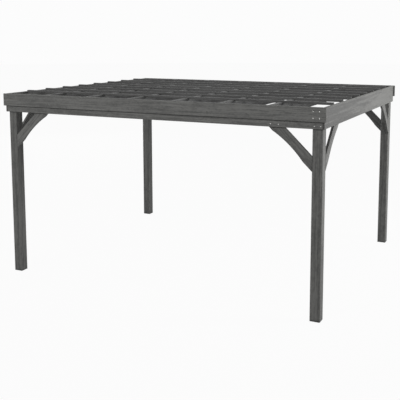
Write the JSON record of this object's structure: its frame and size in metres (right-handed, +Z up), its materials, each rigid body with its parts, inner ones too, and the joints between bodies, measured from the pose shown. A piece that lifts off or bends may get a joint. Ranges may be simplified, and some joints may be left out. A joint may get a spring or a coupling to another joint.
{
  "type": "wooden pergola",
  "caption": "Free-standing rectangular garden pergola of dark grey stained timber: square posts with curved knee braces carry a board rim, rafters and a roof of slats.",
  "frame": {"origin": "on the ground, in the middle of the pergola's plan", "axes": "+Z up, +X along the long front towards its right end, +Y from the front to the back"},
  "size_m": [3.836, 3.194, 2.125],
  "materials": {
    "post_timber": "dark grey stain, matt",
    "board_timber": "dark grey stain, matt",
    "roof_timber": "dark grey stain, matt",
    "screw_steel": "dull zinc"
  },
  "bodies": {
    "root": {"front_left_post": "post_timber", "front_right_post": "post_timber", "back_left_post": "post_timber", "back_right_post": "post_timber", "front_left_header_brace": "board_timber", "front_right_header_brace": "board_timber", "back_left_header_brace": "board_timber", "back_right_header_brace": "board_timber", "front_left_side_brace": "board_timber", "front_right_side_brace": "board_timber", "back_left_side_brace": "board_timber", "back_right_side_brace": "board_timber", "front_header": "board_timber", "back_header": "board_timber", "front_fascia": "board_timber", "back_fascia": "board_timber", "left_side_board": "board_timber", "right_side_board": "board_timber", "rafter_1": "roof_timber", "rafter_2": "roof_timber", "rafter_3": "roof_timber", "rafter_4": "roof_timber", "rafter_5": "roof_timber", "rafter_6": "roof_timber", "slat_1": "roof_timber", "slat_2": "roof_timber", "slat_3": "roof_timber", "slat_4": "roof_timber", "slat_5": "roof_timber", "slat_6": "roof_timber", "slat_7": "roof_timber", "slat_8": "roof_timber"}
  },
  "joints": []
}
